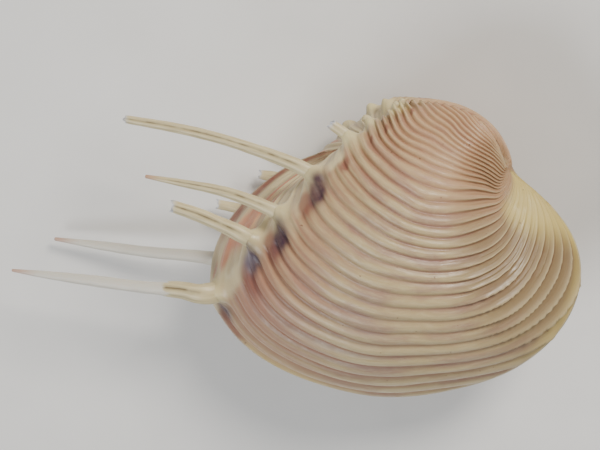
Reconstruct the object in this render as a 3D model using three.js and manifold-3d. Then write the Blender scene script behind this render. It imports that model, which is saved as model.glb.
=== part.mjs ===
// A spiny venus clam shell: both valves, shut, lying on the left valve.
// Lengths are in millimetres and angles in radians, unless a name ends in Degrees.
//
// The shell frame has its origin by the beaks. X points to the front (anterior) end,
// Y to the back edge with the hinge (dorsal), and Z out of the right valve. The plane
// z = 0 is where the two valves meet. Each valve is grown as a real one is: the margin is
// a flat closed curve, and older margins are smaller copies of it, turned about an axis
// through the beak. The growth angle is 0 at the margin of today and rises to the beak.

import * as THREE from "three";
import { mergeVertices } from "three/addons/utils/BufferGeometryUtils.js";
import Module from "manifold-3d";

const wasm = await Module();
wasm.setup();

// Margin of the shell: its middle, and its radius every 30 degrees from the front end
const marginMiddle = { x: -15.7, y: -9.6 };
const marginRadii = [26.1, 22.0, 19.7, 19.4, 21.6, 25.7, 29.3, 25.4, 21.6, 20.2, 21.8, 25.1];

// Growth: how fast older margins shrink, and how their axis and middle drift
const shrinkRate = 0.62;
const shrinkSlowing = 0.13;
const beakStart = 2.7;
const beakShrink = 0.9;
const beakEnd = 3.5;
const axisHeading = -0.51;
const axisHeadingDrift = 0.08;
const axisLift = 0.27;
const axisLiftDrift = 0.07;
const middleDrift = { x: 0.33, y: -0.75 };
const lengthDrift = -0.027;
const heightDrift = -0.045;

// The beaks lean forward: how far, the growth it builds up over, the height over the joint
// it reaches to, its share behind, and the places on the margin where it starts and is full
const beakLean = { x: 4.4, y: 2.05 };
const leanGrowth = 0.6;
const leanHeight = 4.2;
const leanShareBehind = 0.42;
const leanBack = { start: 3.0, full: 3.6 };
const leanFront = { start: 5.5, full: 7.0 };

// The flank before the beaks sinks a little: how deep, from which height over the joint, and
// the middle and width of the place in growth and on the margin
const flankSink = 1.8;
const flankSinkHeight = 4;
const flankSinkGrowth = { middle: 2.1, width: 0.7 };
const flankSinkAngle = { middle: 5.9, width: 0.5 };

// Concentric ridges: the first groove, the growth angle between grooves, and the relief
// as a share of the distance between grooves there
const firstGroove = 0.055;
const ridgeStep = 0.1;
const ridgeCrowding = 0.0027;
const ridgeCount = 28;
const crestRise = 0.05;
const grooveDepth = 0.15;

// Mesh fineness of the outside, of the hollow and of a spine
const outsideColumns = 24;
const hollowColumns = 20;
const hollowRows = 13;
const closingRows = 6;
const spineSides = 6;
const spineSteps = 7;
const stubSteps = 3;
const lineSamples = 360;
const lengthSamples = 200;
const halvings = 40;
const smallGrowth = 2e-3;
const smallStep = 1e-3;
const mergeDistance = 1e-5;

// The valves stay this far apart, and the hollow is a smaller copy of the outside
const valveGap = 0.3;
const hollowScale = { x: 0.925, y: 0.85, z: 0.9 };
const hollowCentre = { x: -17, y: -18 };

// The row of spines stands on a ridge at this place on the margin
const spineRow = 3.17;
const spineFlatness = 0.72;
const spineBury = 0.8;

// Spines of the right valve: growth angle of the root, then places in X and Y along the
// middle line with the width there. Broken ones end square, whole ones end in a point.
const rightSpines = [
  { root: 0.15, height: 5.4, path: [[-43.6, -5.6, 2.5], [-47.2, -4.2, 2.1], [-52.8, -2.6, 1.7],
    [-59.8, -0.2, 1.6], [-66.8, 2.2, 1.1], [-72.0, 4.0, 0.4]] },
  { root: 0.59, height: 10.2, path: [[-32.6, 3.9, 2.3], [-35.4, 6.2, 2.0], [-38.3, 8.3, 1.9],
    [-41.2, 10.1, 1.7]] },
  { root: 0.87, height: 10.7, path: [[-27.0, 6.9, 1.9], [-32.4, 10.6, 1.5], [-38.8, 13.5, 1.0],
    [-43.3, 15.4, 0.5]] },
  { root: 1.21, height: 9.2, path: [[-21.8, 11.9, 1.9], [-29.2, 16.8, 1.5], [-36.0, 20.4, 1.4],
    [-44.0, 23.8, 1.1]] },
  { root: 1.63, height: 5.8, path: [[-14.5, 13.4, 1.3], [-16.2, 15.5, 1.1]] },
  { root: 1.86, height: 3.4, path: [[-11.7, 14.1, 1.2], [-12.2, 14.7, 0.9]] },
  { root: 2.02, height: 1.9, path: [[-8.9, 13.4, 0.9], [-8.2, 14.8, 0.6]] },
  { root: 2.12, height: 1.4, path: [[-7.8, 13.6, 0.8], [-7.2, 15.0, 0.6]] },
];

// Spines of the left valve, in its mirror image. Only the longest one is whole.
const leftSpines = [
  { root: 0.15, height: 5.6, path: [[-43.6, -5.4, 2.4], [-48.2, -3.6, 1.8], [-55.5, -1.4, 1.6],
    [-62.5, 1.1, 1.3], [-69.6, 3.7, 0.5]] },
  { root: 0.42, height: 8.4, path: [[-37.6, -0.2, 2.0], [-40.6, 1.6, 1.5], [-43.2, 2.8, 1.4]] },
  { root: 0.6, height: 10.2, path: [[-32.8, 3.9, 1.7], [-35.9, 5.4, 1.3]] },
  { root: 0.87, height: 10.7, path: [[-25.7, 5.6, 1.6], [-26.1, 5.9, 1.4]] },
  { root: 1.21, height: 9.1, path: [[-19.7, 10.0, 1.4], [-19.9, 10.3, 1.2]] },
  { root: 1.63, height: 5.4, path: [[-14.0, 12.9, 1.2], [-14.2, 13.3, 1.0]] },
  { root: 1.96, height: 2.4, path: [[-10.5, 13.8, 1.0], [-10.7, 14.4, 0.8]] },
];

// The ligament: a dark cord over the joint behind the beaks
const ligamentWidth = 2.4;
const ligamentHeight = 1.8;
const ligamentStart = 1.55;
const ligamentEnd = 0.35;
const ligamentStandOff = 0.5;
const ligamentClearance = 0.38;
const ligamentRows = 30;
const ligamentSteps = 8;
const ligamentRings = 12;
const ligamentFacets = 5;

// How the shell lies: on a small worn flat at the left valve's lowest place. The origin of
// the whole part is the middle of that flat.
const restTiltDegrees = { x: 1, y: -8 };
const restPoint = { x: -18.8, y: -4.3, z: -15.0 };
const cutBlockSize = 60;

// Materials
const shellColour = "#c9bd9f";
const ligamentColour = "#3b2a1d";
const shellMaterial = new THREE.MeshStandardMaterial({ color: shellColour, roughness: 0.45, metalness: 0 });
const ligamentMaterial = new THREE.MeshStandardMaterial({ color: ligamentColour, roughness: 0.8, metalness: 0 });

// Growth formula

// Smooth closed curve through the margin's radii
function marginRadius(angle) {
  const count = marginRadii.length;
  let sum = 0;
  marginRadii.forEach((radius, i) => {
    const x = angle - (i * 2 * Math.PI) / count;
    const half = Math.sin(x / 2);
    const weight = Math.abs(half) < 1e-9 ? 1 : (Math.sin((count * x) / 2) * Math.cos(x / 2)) / (count * half);
    sum += radius * weight;
  });
  return sum;
}

function shrinkExponent(growth) {
  const late = Math.max(0, growth - beakStart);
  return shrinkRate * growth - 0.5 * shrinkSlowing * growth * growth + beakShrink * late * late;
}

function growthAxis(growth) {
  const heading = axisHeading + axisHeadingDrift * growth;
  const lift = axisLift + axisLiftDrift * growth;
  return new THREE.Vector3(
    Math.cos(heading) * Math.cos(lift), Math.sin(heading) * Math.cos(lift), Math.sin(lift));
}

function bell(x, { middle, width }) {
  return Math.exp(-(((x - middle) / width) ** 2));
}

// Moves a place for the forward lean of the beaks and the sunken flank before them
function leaned(point, growth, angle) {
  const built = 1 - Math.exp(-growth / leanGrowth);
  const front = THREE.MathUtils.smoothstep(angle, leanFront.start, leanFront.full);
  const back = THREE.MathUtils.smoothstep(angle, leanBack.start, leanBack.full);
  const share = built * back * (leanShareBehind + (1 - leanShareBehind) * front);
  const near = Math.exp(-((point.z / leanHeight) ** 2));
  const sink = flankSink * bell(growth, flankSinkGrowth) * bell(angle, flankSinkAngle);
  point.x += beakLean.x * share * near;
  point.y += beakLean.y * share * near;
  point.z -= sink * THREE.MathUtils.smoothstep(point.z, 0, flankSinkHeight);
  return point;
}

// A place on the outside of the right valve, before its ridges
function outsidePoint(growth, angle) {
  const radius = marginRadius(angle);
  const x = radius * Math.cos(angle) * Math.exp(lengthDrift * growth) + marginMiddle.x + middleDrift.x * growth;
  const y = radius * Math.sin(angle) * Math.exp(heightDrift * growth) + marginMiddle.y + middleDrift.y * growth;
  const point = new THREE.Vector3(x, y, 0);
  point.applyAxisAngle(growthAxis(growth), -growth);
  point.multiplyScalar(Math.exp(-shrinkExponent(growth)));
  return leaned(point, growth, angle);
}

function outsideNormal(growth, angle) {
  const late = Math.max(growth, smallGrowth);
  const along = outsidePoint(late, angle + smallStep).sub(outsidePoint(late, angle - smallStep));
  const across = outsidePoint(late + smallStep, angle).sub(outsidePoint(late - smallStep, angle));
  return along.cross(across).normalize();
}

// The part of one growth line that lies on the right valve: where it rises through z = 0
// at the back and where it sinks through z = 0 at the front
function growthLineEnds(growth) {
  const late = Math.max(growth, smallGrowth / 10);
  const heightAt = (angle) => outsidePoint(late, angle).z;
  const crossing = (low, high) => {
    let a = low;
    let b = high;
    const rising = heightAt(a) < heightAt(b);
    for (let i = 0; i < halvings; i += 1) {
      const middle = (a + b) / 2;
      if ((heightAt(middle) < 0) === rising) a = middle;
      else b = middle;
    }
    return (a + b) / 2;
  };
  let back = null;
  let front = null;
  for (let i = 0; i < lineSamples; i += 1) {
    const a = (i * 2 * Math.PI) / lineSamples;
    const b = ((i + 1) * 2 * Math.PI) / lineSamples;
    const before = heightAt(a);
    const after = heightAt(b);
    if (before < 0 && after >= 0) back = crossing(a, b);
    if (before >= 0 && after < 0) front = crossing(a, b);
  }
  if (front < back) front += 2 * Math.PI;
  return { back, front };
}

// Angles along a growth line that split it into equal lengths
function growthLineAngles(growth, columns) {
  const { back, front } = growthLineEnds(growth);
  const lengths = [0];
  let previous = outsidePoint(growth, back);
  for (let i = 1; i <= lengthSamples; i += 1) {
    const point = outsidePoint(growth, back + ((front - back) * i) / lengthSamples);
    lengths.push(lengths[i - 1] + point.distanceTo(previous));
    previous = point;
  }
  const angles = [];
  let i = 1;
  for (let column = 0; column <= columns; column += 1) {
    const wanted = (lengths[lengthSamples] * column) / columns;
    while (i < lengthSamples && lengths[i] < wanted) i += 1;
    const share = (wanted - lengths[i - 1]) / (lengths[i] - lengths[i - 1]);
    angles.push(back + ((front - back) * (i - 1 + share)) / lengthSamples);
  }
  return angles;
}

// Growth angle of a ridge's groove; a half number gives the crest after it
function ridgeGrowth(number) {
  return firstGroove + (ridgeStep * number) / (1 + ridgeCrowding * number);
}

// Distance between two grooves at a place on the outside
function ridgeSpacing(growth, angle) {
  const nearBeak = Math.min(growth, beakEnd - ridgeStep);
  return outsidePoint(nearBeak, angle).distanceTo(outsidePoint(nearBeak + ridgeStep, angle));
}

function ridgedRows() {
  const rows = [{ growth: 0, relief: 0 }];
  for (let i = 0; i < ridgeCount; i += 1) {
    rows.push({ growth: ridgeGrowth(i), relief: -grooveDepth });
    rows.push({ growth: ridgeGrowth(i + 0.5), relief: crestRise });
  }
  const last = ridgeGrowth(ridgeCount);
  for (let i = 0; i <= closingRows; i += 1) {
    rows.push({ growth: last + ((beakEnd - last) * i) / closingRows, relief: 0 });
  }
  return rows;
}

function smoothRows(count) {
  const rows = [];
  for (let i = 0; i <= count; i += 1) rows.push({ growth: (beakEnd * i) / count, relief: 0 });
  return rows;
}

// Solids

function solidFromTriangles(points, triangles) {
  const vertProperties = new Float32Array(points.length * 3);
  points.forEach((point, i) => vertProperties.set([point.x, point.y, point.z], i * 3));
  const mesh = new wasm.Mesh({ numProp: 3, vertProperties, triVerts: new Uint32Array(triangles) });
  return new wasm.Manifold(mesh);
}

function solidFromGeometry(geometry) {
  const bare = geometry.clone();
  bare.deleteAttribute("normal");
  bare.deleteAttribute("uv");
  const merged = mergeVertices(bare, mergeDistance);
  return new wasm.Manifold(new wasm.Mesh({
    numProp: 3,
    vertProperties: new Float32Array(merged.attributes.position.array),
    triVerts: new Uint32Array(merged.index.array),
  }));
}

function geometryFromSolid(solid) {
  const mesh = solid.getMesh();
  const positions = new Float32Array(mesh.vertProperties);
  const index = new Uint32Array(mesh.triVerts);
  const geometry = new THREE.BufferGeometry();
  geometry.setAttribute("position", new THREE.BufferAttribute(positions, 3));
  geometry.setIndex(new THREE.BufferAttribute(index, 1));
  geometry.computeVertexNormals();
  return geometry;
}

// The main body of a solid, without loose crumbs and with closed pockets filled
function largestBody(solid) {
  const bodies = solid.decompose();
  return bodies.reduce((best, body) => (body.volume() > best.volume() ? body : best));
}

// One valve as a filled solid: rows of growth lines, a tip at the beak, and a flat face
// in the plane where the valves meet
function filledValve(rows, columns, lift, inflate = 0) {
  const points = [];
  const angleRows = rows.map((row) => growthLineAngles(row.growth, columns));
  rows.forEach((row, r) => {
    angleRows[r].forEach((angle, c) => {
      const point = outsidePoint(row.growth, angle);
      const normal = outsideNormal(row.growth, angle);
      const relief = row.relief * ridgeSpacing(row.growth, angle);
      point.addScaledVector(normal, relief + inflate);
      const onPlane = r === 0 || c === 0 || c === columns;
      if (onPlane) point.z = 0;
      point.z = Math.max(point.z, 0) + lift;
      points.push(point);
    });
  });
  const at = (r, c) => r * (columns + 1) + c;
  const lastRow = rows.length - 1;
  const tip = points.length;
  points.push(points[at(lastRow, 0)].clone().add(points[at(lastRow, columns)]).multiplyScalar(0.5));

  const triangles = [];
  for (let r = 0; r < lastRow; r += 1) {
    for (let c = 0; c < columns; c += 1) {
      triangles.push(at(r, c), at(r, c + 1), at(r + 1, c + 1));
      triangles.push(at(r, c), at(r + 1, c + 1), at(r + 1, c));
    }
  }
  for (let c = 0; c < columns; c += 1) triangles.push(at(lastRow, c), at(lastRow, c + 1), tip);

  const rim = [];
  for (let c = 0; c <= columns; c += 1) rim.push(at(0, c));
  for (let r = 1; r <= lastRow; r += 1) rim.push(at(r, columns));
  rim.push(tip);
  for (let r = lastRow; r >= 1; r -= 1) rim.push(at(r, 0));
  const outline = rim.map((i) => new THREE.Vector2(points[i].x, points[i].y));
  const upward = THREE.ShapeUtils.isClockWise(outline) ? 1 : -1;
  for (const [a, b, c] of THREE.ShapeUtils.triangulateShape(outline, [])) {
    if (upward > 0) triangles.push(rim[a], rim[b], rim[c]);
    else triangles.push(rim[a], rim[c], rim[b]);
  }
  return solidFromTriangles(points, triangles);
}

// The hollow: a smaller, smooth copy of the outside that opens through the flat face
function hollowSolid() {
  const filled = filledValve(smoothRows(hollowRows), hollowColumns, 0);
  return filled
    .translate([-hollowCentre.x, -hollowCentre.y, 0])
    .scale([hollowScale.x, hollowScale.y, hollowScale.z])
    .translate([hollowCentre.x, hollowCentre.y, -valveGap]);
}

// One spine: a flattened tube that starts inside the valve's wall
function spineSolid({ root, height, path }) {
  const foot = outsidePoint(root, spineRow);
  foot.addScaledVector(outsideNormal(root, spineRow), -spineBury);
  foot.z += valveGap / 2;
  const line = [foot, ...path.map(([x, y]) => new THREE.Vector3(x, y, height))];
  const curve = new THREE.CatmullRomCurve3(line);
  const widths = [path[0][2], ...path.map(([, , width]) => width)];
  const steps = path.length > 2 ? spineSteps : stubSteps;
  const points = [];
  for (let i = 0; i <= steps; i += 1) {
    const place = i / steps;
    const centre = curve.getPoint(place);
    const tangent = curve.getTangent(place);
    const side = new THREE.Vector3(0, 0, 1).cross(tangent).normalize();
    const up = tangent.clone().cross(side).normalize();
    const along = place * (widths.length - 1);
    const before = Math.min(Math.floor(along), widths.length - 2);
    const width = THREE.MathUtils.lerp(widths[before], widths[before + 1], along - before);
    for (let s = 0; s < spineSides; s += 1) {
      const turn = (s * 2 * Math.PI) / spineSides;
      points.push(centre.clone()
        .addScaledVector(side, (Math.cos(turn) * width) / 2)
        .addScaledVector(up, (Math.sin(turn) * width * spineFlatness) / 2));
    }
  }
  const at = (i, s) => i * spineSides + (s % spineSides);
  const triangles = [];
  for (let i = 0; i < steps; i += 1) {
    for (let s = 0; s < spineSides; s += 1) {
      triangles.push(at(i, s), at(i, s + 1), at(i + 1, s + 1));
      triangles.push(at(i, s), at(i + 1, s + 1), at(i + 1, s));
    }
  }
  for (let s = 1; s < spineSides - 1; s += 1) {
    triangles.push(at(0, 0), at(0, s + 1), at(0, s));
    triangles.push(at(steps, 0), at(steps, s), at(steps, s + 1));
  }
  return solidFromTriangles(points, triangles);
}

function valveSolid(spines) {
  let solid = filledValve(ridgedRows(), outsideColumns, valveGap / 2).subtract(hollowSolid());
  for (const spine of spines) solid = solid.add(spineSolid(spine));
  return largestBody(solid);
}

// The ligament's middle line follows the back edge, where the growth lines cross z = 0
function ligamentSolid() {
  const line = [];
  for (let i = 0; i <= ligamentSteps; i += 1) {
    const growth = ligamentStart + ((ligamentEnd - ligamentStart) * i) / ligamentSteps;
    const { back } = growthLineEnds(growth);
    const edge = outsidePoint(growth, back);
    const outward = outsideNormal(growth, back).setZ(0).normalize();
    line.push(edge.addScaledVector(outward, ligamentStandOff).setZ(0));
  }
  const section = new THREE.Shape();
  section.absellipse(0, 0, ligamentHeight / 2, ligamentWidth / 2, 0, 2 * Math.PI);
  const cord = new THREE.ExtrudeGeometry(section, {
    steps: ligamentRings, curveSegments: ligamentFacets, extrudePath: new THREE.CatmullRomCurve3(line),
  });
  const keepOut = filledValve(smoothRows(ligamentRows), outsideColumns, 0, ligamentClearance);
  const mirroredKeepOut = keepOut.mirror([0, 0, 1]);
  return solidFromGeometry(cord).subtract(keepOut).subtract(mirroredKeepOut);
}

// The shell as it lies
const shell = new THREE.Group();
shell.rotation.set(
  THREE.MathUtils.degToRad(restTiltDegrees.x), THREE.MathUtils.degToRad(restTiltDegrees.y), 0);
shell.position.set(restPoint.x, restPoint.y, restPoint.z).applyEuler(shell.rotation).negate();
shell.updateMatrix();

// Everything below the surface that the shell lies on
function belowSurface() {
  const block = new THREE.BoxGeometry(cutBlockSize, cutBlockSize, cutBlockSize);
  block.translate(0, 0, -cutBlockSize / 2);
  block.applyMatrix4(shell.matrix.clone().invert());
  return solidFromGeometry(block);
}

const rightValve = new THREE.Mesh(geometryFromSolid(valveSolid(rightSpines)), shellMaterial);
rightValve.name = "right_valve";

const leftWhole = valveSolid(leftSpines).mirror([0, 0, 1]);
const leftValve = new THREE.Mesh(geometryFromSolid(leftWhole.subtract(belowSurface())), shellMaterial);
leftValve.name = "left_valve";

const ligament = new THREE.Mesh(geometryFromSolid(largestBody(ligamentSolid())), ligamentMaterial);
ligament.name = "ligament";

shell.add(rightValve, leftValve, ligament);

export default shell;
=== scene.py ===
# A spiny venus clam shell, shut and lying on its left valve on a pale table.
# The shell formula works in millimetres, in the shell's own frame: origin by the beaks, X to
# the front end, Y to the hinge edge, Z out of the right valve. Everything placed in the
# scene is in metres. Angles are in radians, unless a name ends in DEGREES.

import math

import bpy
import numpy as np
from mathutils import Euler, Matrix, Vector


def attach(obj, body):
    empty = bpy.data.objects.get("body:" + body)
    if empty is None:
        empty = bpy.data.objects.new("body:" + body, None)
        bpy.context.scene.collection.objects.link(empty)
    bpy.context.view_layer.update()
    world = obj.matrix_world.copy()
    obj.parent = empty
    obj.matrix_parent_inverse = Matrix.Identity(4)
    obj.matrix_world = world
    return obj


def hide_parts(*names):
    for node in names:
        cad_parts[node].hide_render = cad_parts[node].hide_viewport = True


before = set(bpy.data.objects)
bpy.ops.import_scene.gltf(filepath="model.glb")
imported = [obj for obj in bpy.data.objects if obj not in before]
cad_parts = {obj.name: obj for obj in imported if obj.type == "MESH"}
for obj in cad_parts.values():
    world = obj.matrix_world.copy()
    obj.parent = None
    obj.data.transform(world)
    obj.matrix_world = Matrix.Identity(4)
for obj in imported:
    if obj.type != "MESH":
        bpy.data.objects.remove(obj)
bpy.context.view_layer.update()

MM = 0.001

# Margin of the shell: its middle, and its radius every 30 degrees from the front end
MARGIN_MIDDLE = (-15.7, -9.6)
MARGIN_RADII = (26.1, 22.0, 19.7, 19.4, 21.6, 25.7, 29.3, 25.4, 21.6, 20.2, 21.8, 25.1)

# Growth: how fast older margins shrink, and how their axis and middle drift
SHRINK_RATE = 0.62
SHRINK_SLOWING = 0.13
BEAK_START = 2.7
BEAK_SHRINK = 0.9
BEAK_END = 3.5
AXIS_HEADING = -0.51
AXIS_HEADING_DRIFT = 0.08
AXIS_LIFT = 0.27
AXIS_LIFT_DRIFT = 0.07
MIDDLE_DRIFT = (0.33, -0.75)
LENGTH_DRIFT = -0.027
HEIGHT_DRIFT = -0.045

# The beaks lean forward: how far in X and Y, the growth it builds up over, the height over
# the joint it reaches to, its share behind, and where on the margin it starts and is full
BEAK_LEAN = (4.4, 2.05)
LEAN_GROWTH = 0.6
LEAN_HEIGHT = 4.2
LEAN_SHARE_BEHIND = 0.42
LEAN_BACK = (3.0, 3.6)
LEAN_FRONT = (5.5, 7.0)

# The flank before the beaks sinks: how deep, from which height, and the middle and width of
# the place in growth and on the margin
FLANK_SINK = 1.8
FLANK_SINK_HEIGHT = 4
FLANK_SINK_GROWTH = (2.1, 0.7)
FLANK_SINK_ANGLE = (5.9, 0.5)

# Ridges: the first groove, the growth angle between grooves, how they crowd, and from which
# ridge on they get finer still and by how much
FIRST_GROOVE = 0.055
RIDGE_STEP = 0.1
RIDGE_CROWDING = 0.0027
FINE_RIDGE = 19
FINE_RIDGE_SHARE = 0.4

# Towards the front end the ridges spread: how far at the rim, how much less with growth, and
# between which places on the margin. On the umbo they slant: how far, between which growth
# angles, and the middle and width of the place on the margin
SPREAD = 0.40
SPREAD_LOSS = 0.39
SPREAD_ANGLES = (4.6, 6.3)
SLANT = 0.2
SLANT_GROWTHS = (1.5, 2.4)
SLANT_ANGLE = (4.75, 0.75)

# The cross section of the ridges, as shares of the distance between them: the rounded cords
# with their grooves, the finer grooves that split them, and the lamellae of the front
CORD = 0.13
CORD_MORE_AT_REAR = 0.06
CORD_MORE_BEFORE_BEAK = 0.5
GROOVE = 0.17
GROOVE_HALF_WIDTH = 0.14
GROOVE_WIDER = dict(rear=0.07, umbo=0.02, front=0.08)
SPLIT = 0.13
SPLIT_HALF_WIDTH = 0.34
SPLIT_REACH = 3.85
BLADE = 0.55
BLADE_FOOT = 0.18
BLADE_PLACE = 0.24
BLADE_FLANKS = (0.09, 0.20)
SECOND_BLADE = 0.6
SECOND_BLADE_PLACE = 0.66
SECOND_BLADE_FLANKS = (0.06, 0.12)
WIDEST_RIDGE = 1.9

# How the shell lies, and the gap between the valves
REST_TILT_DEGREES = (1, -8)
REST_POINT = (-18.8, -4.3, -15.0)
VALVE_GAP = 0.3

# Where on the margin the keel with the spines runs: its place at the rim, and its shifts
# towards the beak with the growth angles between which each builds up
KEEL_PLACE = 3.11
KEEL_SHIFTS = ((0.15, 0.55, 0.95), (0.06, 1.3, 1.8))

# The growth angles of the spines' roots on the keel, and of the folds behind the keel
SPINE_ROOTS = (0.13, 0.56, 0.90, 1.25, 1.63)
FOLDS = (0.17, 0.40, 0.60, 0.74, 0.90, 1.08, 1.25, 1.44, 1.63)

# Parts of the surface, between two places on the margin: where the rear flank ends, and
# where the lamellae of the front and the smooth lunule begin. The umbo begins, the lunule
# fades and the webs between the spines end between two growth angles
REAR_ENDS = (3.35, 4.5)
FRONT_BEGINS = (5.1, 5.8)
LUNULE_BEGINS = (6.12, 6.36)
LUNULE_FADES = (1.5, 2.1)
UMBO_BEGINS = (1.3, 2.2)
WEBS_END = (1.5, 1.75)

# Offsets from the keel round the margin: the edge of the back slope, the two edges of the
# smooth webs on the keel, and the near and far ends of the folds behind it
SLOPE_EDGE = (-0.09, 0.03)
WEB_NEAR_EDGE = (-0.08, -0.01)
WEB_FAR_EDGE = (0.04, 0.10)
FOLD_NEAR_END = (-0.02, 0.12)
FOLD_FAR_END = (0.55, 0.9)

# Offset and half width of the keel, of the spines' collars and of the beads by the beak, and
# the growth angles between which the beads begin and end
KEEL_BAND = (0.0, 0.09)
COLLAR_BAND = (-0.05, 0.12)
BEAD_BAND = (0.06, 0.12)
BEADS_BEGIN = (1.65, 1.9)
BEADS_END = (2.5, 3.0)

# Heights at the rim, in mm, of what lies over the ridges. Older ones shrink with the margin
KEEL_HEIGHT = 0.55
COLLAR_HEIGHT = 0.4
FOLD_HEIGHT = 0.32
STAIN_DEPTH = 0.30
UNEVENNESS = 0.04
BEAD_HEIGHT = 0.5

# Dark and bluish stains, rusty shades and salmon patches: growth angle, place on the margin,
# and the half widths in both
STAINS = (
    (0.09, 3.19, 0.055, 0.08), (0.52, 3.16, 0.090, 0.09), (0.81, 3.27, 0.100, 0.10),
    (1.22, 3.35, 0.110, 0.12))
BLUE_STAINS = ((0.48, 3.11, 0.060, 0.07),)
RUSTS = (
    (0.04, 3.28, 0.04, 0.10), (0.43, 3.22, 0.070, 0.13), (0.70, 3.24, 0.065, 0.12),
    (1.08, 3.31, 0.070, 0.11), (1.50, 3.44, 0.05, 0.07), (1.96, 3.55, 0.025, 0.06),
    (1.80, 3.50, 0.020, 0.04), (2.22, 3.60, 0.020, 0.06))
PATCHES = (
    (0.31, 2.76, 0.120, 0.16), (0.34, 2.50, 0.038, 0.24), (0.53, 2.62, 0.026, 0.18),
    (0.46, 2.96, 0.030, 0.05), (0.17, 2.90, 0.035, 0.09), (0.72, 2.70, 0.026, 0.14),
    (0.07, 3.02, 0.025, 0.08), (0.96, 2.82, 0.030, 0.10))

# Fineness of the meshes
VALVE_ROWS = 380
VALVE_COLUMNS = 216
SPINE_SIDES = 28
SPINE_RINGS_PER_MM = 3
SPINE_LEAST_RINGS = 14

# The plain hollow of a valve: its middle, its share of the rim's width, its depth, and the
# loops of its mesh with how far round they go
HOLLOW_MIDDLE = (-17.0, -10.0, 0.0)
HOLLOW_SHARE = 0.93
HOLLOW_DEPTH = 5.0
HOLLOW_LOOPS = 7
HOLLOW_END_DEGREES = 84

# The fillet round a spine's foot: how far from the foot it is looked for, its width, the
# spine's width from which it is a full one, its greatest height as a share of its width, the
# rounds of the search for its height, and the height that counts as all spine
FILLET_REACH = 7
FILLET_WIDTH = 2.2
FILLET_FULL_FROM = 1.6
FILLET_HEIGHT_SHARE = 0.75
FILLET_ROUNDS = 8
FILLET_COLOURED_SHARE = 0.35

# The section of a spine: how deep its foot is in the shell, its width against the widths
# listed below, the flare of the foot and its length, how flat it is, and how much less flat
# its chalky core is
FOOT_DEPTH = 1.2
SPINE_WIDENING = 1.08
FLARE = 0.12
FLARE_LENGTH = 3.0
FLATNESS = 0.74
CHALK_ROUNDER = 0.1

# Gutters along a spine: place round the section, half width and share of the depth. They
# start between two lengths from the foot, and run out between two shares of a whole spine
GUTTERS = ((2.05, 0.17, 1.0), (1.1, 0.14, 0.35))
GUTTER_DEPTH = 0.22
GUTTER_START = (3.2, 6.0)
GUTTER_RUNS_OUT = (0.8, 0.97)

# The outer layer has come off the long lower spines and bares a chalky core. It ends at the
# share of their length that the lists below give as sheath
SHEATH_THICKNESS = 0.16
SHEATH_EDGE = 0.006

# How spines close, as rings: their size, and how far out they are, in widths of the end
BROKEN_END = ((0.82, 0.02), (0.55, -0.22), (0.25, -0.34))
TIP_END = ((0.8, 0.12), (0.45, 0.24))

# Spines of the right valve: growth angle of the root, height over the joint, then places in
# X and Y along the middle line with the width there, and how the spine ends
RIGHT_SPINES = (
    dict(root=0.13, height=5.4, end="tip", sheath=0.29, path=(
        (-43.6, -5.6, 2.5), (-47.2, -4.2, 2.1), (-52.8, -2.6, 1.7),
        (-59.8, -0.2, 1.6), (-66.8, 2.2, 1.1), (-72.0, 4.0, 0.4))),
    dict(root=0.56, height=10.2, end="broken", path=(
        (-32.6, 3.9, 2.3), (-35.4, 6.2, 2.0), (-38.3, 8.3, 1.9), (-41.2, 10.1, 1.7))),
    dict(root=0.90, height=10.7, end="tip", path=(
        (-27.0, 6.9, 1.9), (-32.4, 10.6, 1.5), (-38.8, 13.5, 1.0), (-43.3, 15.4, 0.5))),
    dict(root=1.25, height=9.2, end="broken", path=(
        (-21.8, 11.9, 1.9), (-29.2, 16.8, 1.5), (-36.0, 20.4, 1.4), (-44.0, 23.8, 1.1))),
    dict(root=1.63, height=5.8, end="broken", path=((-14.5, 13.4, 1.5), (-16.2, 15.5, 1.35))),
    dict(root=1.86, height=3.4, end="worn", path=((-11.7, 14.1, 1.2), (-12.2, 14.7, 0.9))),
    dict(root=2.02, height=1.9, end="worn", path=((-8.8, 13.6, 0.9), (-7.5, 15.3, 0.75))),
    dict(root=2.12, height=1.4, end="worn", path=((-7.6, 13.9, 0.85), (-6.7, 15.4, 0.7))),
)

# Spines of the left valve, in its mirror image
LEFT_SPINES = (
    dict(root=0.15, height=5.6, end="tip", sheath=0.1, path=(
        (-43.6, -5.4, 2.4), (-48.2, -3.6, 1.8), (-55.5, -1.4, 1.6),
        (-62.5, 1.1, 1.3), (-69.6, 3.7, 0.5))),
    dict(root=0.42, height=8.4, end="broken", path=(
        (-37.6, -0.2, 2.0), (-40.6, 1.6, 1.5), (-43.2, 2.8, 1.4))),
    dict(root=0.6, height=10.2, end="broken", path=((-32.8, 3.9, 1.7), (-35.9, 5.4, 1.3))),
    dict(root=0.87, height=10.7, end="broken", path=((-25.7, 5.6, 1.5), (-26.1, 5.9, 1.3))),
    dict(root=1.21, height=9.1, end="broken", path=((-19.7, 10.0, 1.4), (-19.9, 10.3, 1.2))),
    dict(root=1.63, height=5.4, end="broken", path=((-14.0, 12.9, 1.2), (-14.2, 13.3, 1.0))),
    dict(root=1.96, height=2.4, end="worn", path=((-10.5, 13.8, 1.4), (-10.8, 14.8, 0.4))),
)

# The ligament: growth angles of its ends, size of its section, and how far it stands off
LIGAMENT_START = 1.5
LIGAMENT_END = 0.4
LIGAMENT_WIDTH = 2.3
LIGAMENT_HEIGHT = 1.7
LIGAMENT_STAND_OFF = 0.5
LIGAMENT_RINGS = 60
LIGAMENT_SIDES = 36

# The camera in metres, with its lens and film width in mm
CAMERA_PLACE = (0.0723, 0.1024, 0.3286)
CAMERA_FORWARD = (-0.2455, -0.2892, -0.9253)
CAMERA_UP = (0.2379, 0.9073, -0.3467)
CAMERA_LENS = 141.5
CAMERA_SENSOR = 36
CAMERA_NEAREST = 0.01

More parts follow.
